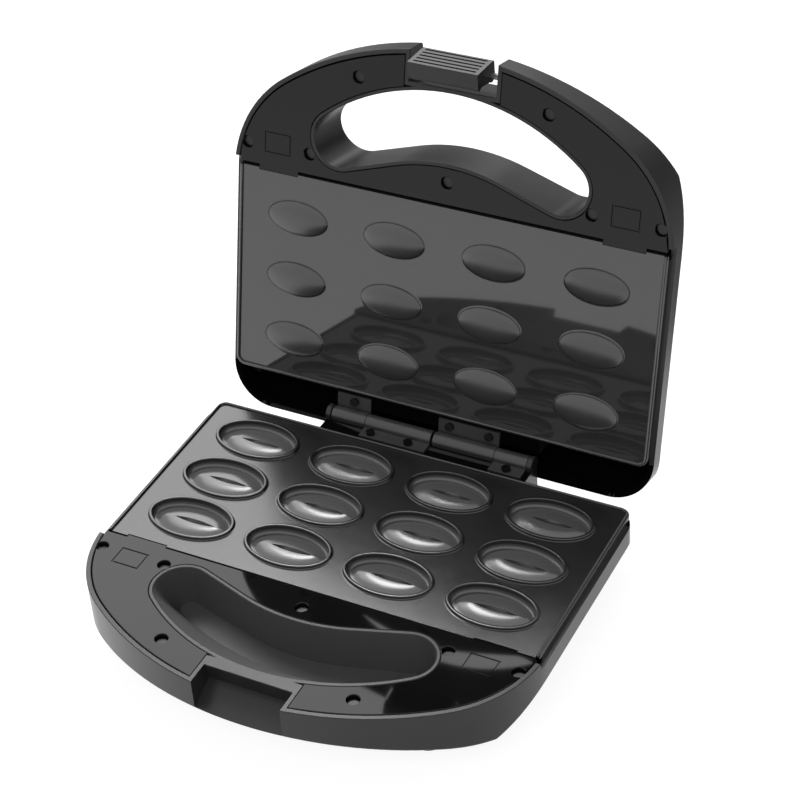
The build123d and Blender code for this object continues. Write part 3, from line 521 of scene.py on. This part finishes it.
def add_moulds(mesh, half):
    """Closed sheet of the plate inside its edge bead, with its moulds in columns and rows."""
    side = PLATE_HALF - BEAD_FOOT + BEAD_WIDTH / 2
    rear = PLATE_REAR - BEAD_FOOT + BEAD_WIDTH / 2
    xs = [-side] + [(column - COLUMNS / 2) * COLUMN_PITCH for column in range(1, COLUMNS)] + [side]
    ys = [PLATE_FRONT + BEAD_FOOT] + [(row - ROWS / 2) * ROW_PITCH for row in range(1, ROWS)] + [rear]
    for column in range(COLUMNS):
        for row in range(ROWS):
            centre = ((column - (COLUMNS - 1) / 2) * COLUMN_PITCH, (row - (ROWS - 1) / 2) * ROW_PITCH)
            low, high = (xs[column], ys[row]), (xs[column + 1], ys[row + 1])
            rear_corners = {0: (low[0], high[1]), COLUMNS - 1: high}
            corner_cut = rear_corners.get(column) if row == ROWS - 1 else None
            mould_cell(mesh, centre, low, high, half, corner_cut)
            back_cell(mesh, centre, low, high, half)
    bmesh.ops.remove_doubles(mesh, verts=mesh.verts[:], dist=JOIN_DISTANCE)
    rims = [edge for edge in mesh.edges if len(edge.link_faces) == 1]
    bmesh.ops.bridge_loops(mesh, edges=rims)
    bmesh.ops.recalc_face_normals(mesh, faces=mesh.faces[:])


def add_bead_and_skirt(mesh):
    """Rounded bead on three sides of the plate, with the plate's edge under it, and the skirt below."""
    turns = [pi * step / BEAD_STEPS for step in range(BEAD_STEPS + 1)]
    middle, reach = BEAD_FOOT - BEAD_WIDTH / 2, BEAD_WIDTH / 2
    ridge = [(middle + reach * cos(turn), BEAD_HEIGHT * sin(turn) ** BEAD_FULLNESS) for turn in turns]
    edge = [(EDGE_ROUND - inset, level) for inset, level in arc((0.0, -EDGE_ROUND), EDGE_ROUND, 90, 0)]
    sweep(mesh, ridge + edge + [(0.0, -PLATE_THICK), (BEAD_FOOT, -PLATE_THICK)])
    top, bottom = -PLATE_THICK, -PLATE_THICK - SKIRT_DEPTH
    outside, inside = SKIRT_INSET, SKIRT_INSET + SHEET
    sweep(mesh, [(outside, top), (outside, bottom), (inside, bottom), (inside, top)], closed=True)


def add_front_strip(mesh):
    """Front edge of the plate in five lengths, two of them set back for the tabs of the handle cover."""
    marks = [-PLATE_HALF, -TAB_SPAN[1], -TAB_SPAN[0], TAB_SPAN[0], TAB_SPAN[1], PLATE_HALF]
    for start, stop, notched in zip(marks, marks[1:], (False, True, False, True, False)):
        front = PLATE_FRONT + TAB_DEPTH if notched else PLATE_FRONT
        block(mesh, (start, front, -PLATE_THICK), (stop, PLATE_FRONT + BEAD_FOOT, 0.0))


def add_studs(mesh):
    """Four studs that hold the plate to its tray."""
    for x in (-STUD_PLACE[0], STUD_PLACE[0]):
        for y in (-STUD_PLACE[1], STUD_PLACE[1]):
            middle = Matrix.Translation((x, y, -PLATE_THICK - STUD_LENGTH / 2))
            bmesh.ops.create_cone(mesh, cap_ends=True, segments=STUD_SIDES, radius1=STUD_RADIUS,
                                  radius2=STUD_RADIUS, depth=STUD_LENGTH, matrix=middle)


def make_plate(body, half, coating):
    """Baking plate of one half, drawn in millimetres above its surface and turned into place in metres."""
    mesh = bmesh.new()
    add_moulds(mesh, half)
    add_bead_and_skirt(mesh)
    add_front_strip(mesh)
    add_studs(mesh)
    move = Matrix.Scale(MM, 4) @ Matrix.Translation((0.0, 0.0, PARTING + half * SURFACE_DROP))
    if half > 0:
        move = TO_OPEN @ move @ Matrix.Scale(-1.0, 4, (0.0, 0.0, 1.0))
    bmesh.ops.transform(mesh, matrix=move, verts=mesh.verts[:])
    if half > 0:
        bmesh.ops.reverse_faces(mesh, faces=mesh.faces[:])
    piece = make_piece(mesh, body + "_baking_plate", coating)
    piece.data.set_sharp_from_angle(angle=SHARP_ANGLE)
    stand_in(piece, body, body + "_plate")


make_plate("base", -1, base_coating)
make_plate("lid", 1, lid_coating)

# Casings and handle covers with eased edges round their faces at the parting plane
EASE_WIDTH = 0.3 * MM
EASE_DROP = 0.35 * MM
FACE_TOLERANCE = 0.05 * MM
WELD_DISTANCE = 0.001 * MM
SMOOTH_LIMIT = cos(radians(28.0))

# Areas of the casings painted darker as shade or paler as light, in millimetres as they lie when closed
INNER_FRONT = 45.0
INNER_REAR = {"base": 58.5, "lid": 72.5}
INNER_DEPTH = 1.0  # from the parting plane to where the painted shade on the inner faces starts
SCOOP_BOX = ((-74.0, -109.6, 12.0), (74.0, -61.0, 39.3))
PAINTED_SHADE_INDEX = 1
PAINTED_LIGHT_INDEX = 2


def even_normals(data):
    """Corner normals that follow the larger faces, so that a flat face stays flat beside a rounded edge."""
    around = [[] for _ in data.vertices]
    for face in data.polygons:
        for vertex in face.vertices:
            around[vertex].append(face)
    normals = []
    for face in data.polygons:
        for vertex in face.vertices:
            total = Vector()
            for other in around[vertex]:
                if face.normal.dot(other.normal) > SMOOTH_LIMIT:
                    total += other.normal * other.area
            normals.append(total.normalized())
    data.normals_split_custom_set(normals)


def paint_shade_and_light(data, body, half, to_closed):
    """Painted shade, a dull black, on the inner faces behind the plate's rear edge, and painted light, a paler
    satin, in the finger scoop.
    """
    data.materials.append(painted_shade_black)
    data.materials.append(scoop_painted_light)
    for face in data.polygons:
        place = to_closed @ face.center / MM
        if all(low < value < high for value, low, high in zip(place, *SCOOP_BOX)):
            face.material_index = PAINTED_LIGHT_INDEX
        facing = to_closed.to_3x3() @ face.normal
        inward = facing.dot(place - Vector((0.0, 0.0, PARTING))) < 0
        deep = half * (place.z - PARTING) > INNER_DEPTH
        if inward and deep and INNER_FRONT < place.y < INNER_REAR[body]:
            face.material_index = PAINTED_SHADE_INDEX


def eased_copy(body, half, part, name, material):
    """Copy of a moulding whose edges round its face at the parting plane are chamfered by a hair."""
    node = body + "_" + part
    mesh = bmesh.new()
    mesh.from_mesh(frame["nodes"][node].data)
    to_closed = TO_OPEN.inverted() if half > 0 else Matrix.Identity(4)
    mesh.transform(to_closed)
    bmesh.ops.remove_doubles(mesh, verts=mesh.verts[:], dist=WELD_DISTANCE)
    height = (PARTING + half * PARTING_GAP) * MM

    def is_level(vertex):
        return abs(vertex.co.z - height) < FACE_TOLERANCE

    flat = [face for face in mesh.faces if all(is_level(vertex) for vertex in face.verts)]
    bmesh.ops.inset_region(mesh, faces=flat, thickness=EASE_WIDTH, use_boundary=True, use_even_offset=False)
    kept = {vertex for face in flat for vertex in face.verts}
    for vertex in mesh.verts:
        if is_level(vertex) and vertex not in kept:
            vertex.co.z += half * EASE_DROP
    mesh.transform(to_closed.inverted())
    piece = make_piece(mesh, body + "_" + name, material)
    even_normals(piece.data)
    if part == "casing":
        paint_shade_and_light(piece.data, body, half, to_closed)
    stand_in(piece, body, node)


for body, half, cover in (("base", -1, bowed_black), ("lid", 1, cover_black)):
    eased_copy(body, half, "casing", "moulded_casing", gloss_black)
    eased_copy(body, half, "handle_cover", "handle_panel", cover)

# Floor and sky, white to the camera and, except low behind the object, in reflections
WHITE = (1.0, 1.0, 1.0, 1.0)
FLOOR_SIZE = 8.0
FLOOR_TONE = (*grey(0.25), 1.0)
FLOOR_ROUGH = 0.9
FLOOR_GLOW = 0.9
FLOOR_FADE_WAY = (0.25, 0.97, 0.0)  # direction in which the mirrored floor darkens
FLOOR_FADE = (0.21, 0.29)  # metres that way where it starts and ends to darken
FLOOR_DARK = 0.04
SKY_LIGHT = 0.25  # level that lights the object
SKY_DARK = 0.08
SKY_RISE = (0.15, 0.4)  # upward part of a direction where the mirrored sky turns from dark to white
SKY_FRONT = (-0.25, 0.0)  # the same for its forward part


def make_floor():
    """Floor that glows white to the camera and in reflections, and still takes the object's shadow."""
    bpy.ops.mesh.primitive_plane_add(size=FLOOR_SIZE)
    floor = bpy.context.object
    floor.name = "floor"
    material, tree, shader = new_material("floor")
    paths = add_node(tree, "ShaderNodeLightPath")
    fade = ramp(tree, along(tree, FLOOR_FADE_WAY), 1.0, FLOOR_DARK, *FLOOR_FADE)
    fade = calculate(tree, "MAXIMUM", fade, paths.outputs["Is Camera Ray"])
    seen = calculate(tree, "MULTIPLY", seeing_rays(tree, paths), fade)
    tree.links.new(calculate(tree, "MULTIPLY", seen, FLOOR_GLOW), shader.inputs["Emission Strength"])
    shader.inputs["Emission Color"].default_value = WHITE
    shader.inputs["Base Color"].default_value = FLOOR_TONE
    shader.inputs["Roughness"].default_value = FLOOR_ROUGH
    floor.data.materials.append(material)


def make_world():
    """White surround for the camera and reflections, and a plain level of light for everything else."""
    world = bpy.data.worlds.new("world")
    scene.world = world
    world.use_nodes = True
    tree = world.node_tree
    paths = add_node(tree, "ShaderNodeLightPath")
    above = ramp(tree, along(tree, (0.0, 0.0, 1.0), "Generated"), SKY_DARK, 1.0, *SKY_RISE)
    front = ramp(tree, along(tree, (0.0, -1.0, 0.0), "Generated"), 0.0, 1.0, *SKY_FRONT)
    level = ramp(tree, seeing_rays(tree, paths), SKY_LIGHT, calculate(tree, "MAXIMUM", above, front))
    level = calculate(tree, "MAXIMUM", level, paths.outputs["Is Camera Ray"])
    background = tree.nodes["Background"]
    tree.links.new(level, background.inputs["Strength"])
    background.inputs["Color"].default_value = WHITE


# Soft lamps round a point of the object, two of which show in reflections
LIT_POINT = Vector((0.0, 0.0, 0.06))


def make_softbox(name, toward, distance, size, radiance, mirrored=True):
    """Area lamp that stands off the object in a direction and faces it, and may show in reflections."""
    data = bpy.data.lights.new(name, "AREA")
    data.shape = "RECTANGLE"
    data.size, data.size_y = size
    data.energy = radiance * pi * size[0] * size[1]
    lamp = bpy.data.objects.new(name, data)
    way = Vector(toward).normalized()
    lamp.location = LIT_POINT + way * distance
    lamp.rotation_euler = way.to_track_quat("Z", "Y").to_euler()
    lamp.visible_camera = False
    lamp.visible_glossy = mirrored
    scene.collection.objects.link(lamp)


make_floor()
make_world()
make_softbox("back_panel", (-0.39, 0.66, 0.64), distance=1.6, size=(1.3, 1.1), radiance=2.2)
make_softbox("front_panel", (0.2, -0.65, 0.75), distance=1.8, size=(0.8, 0.8), radiance=4.5, mirrored=False)
make_softbox("top_lamp", (-0.35, 0.46, 0.81), distance=1.6, size=(0.34, 0.34), radiance=11.0)
make_softbox("key_lamp", (-0.5, 0.3, 0.82), distance=0.8, size=(0.3, 0.3), radiance=20.0, mirrored=False)
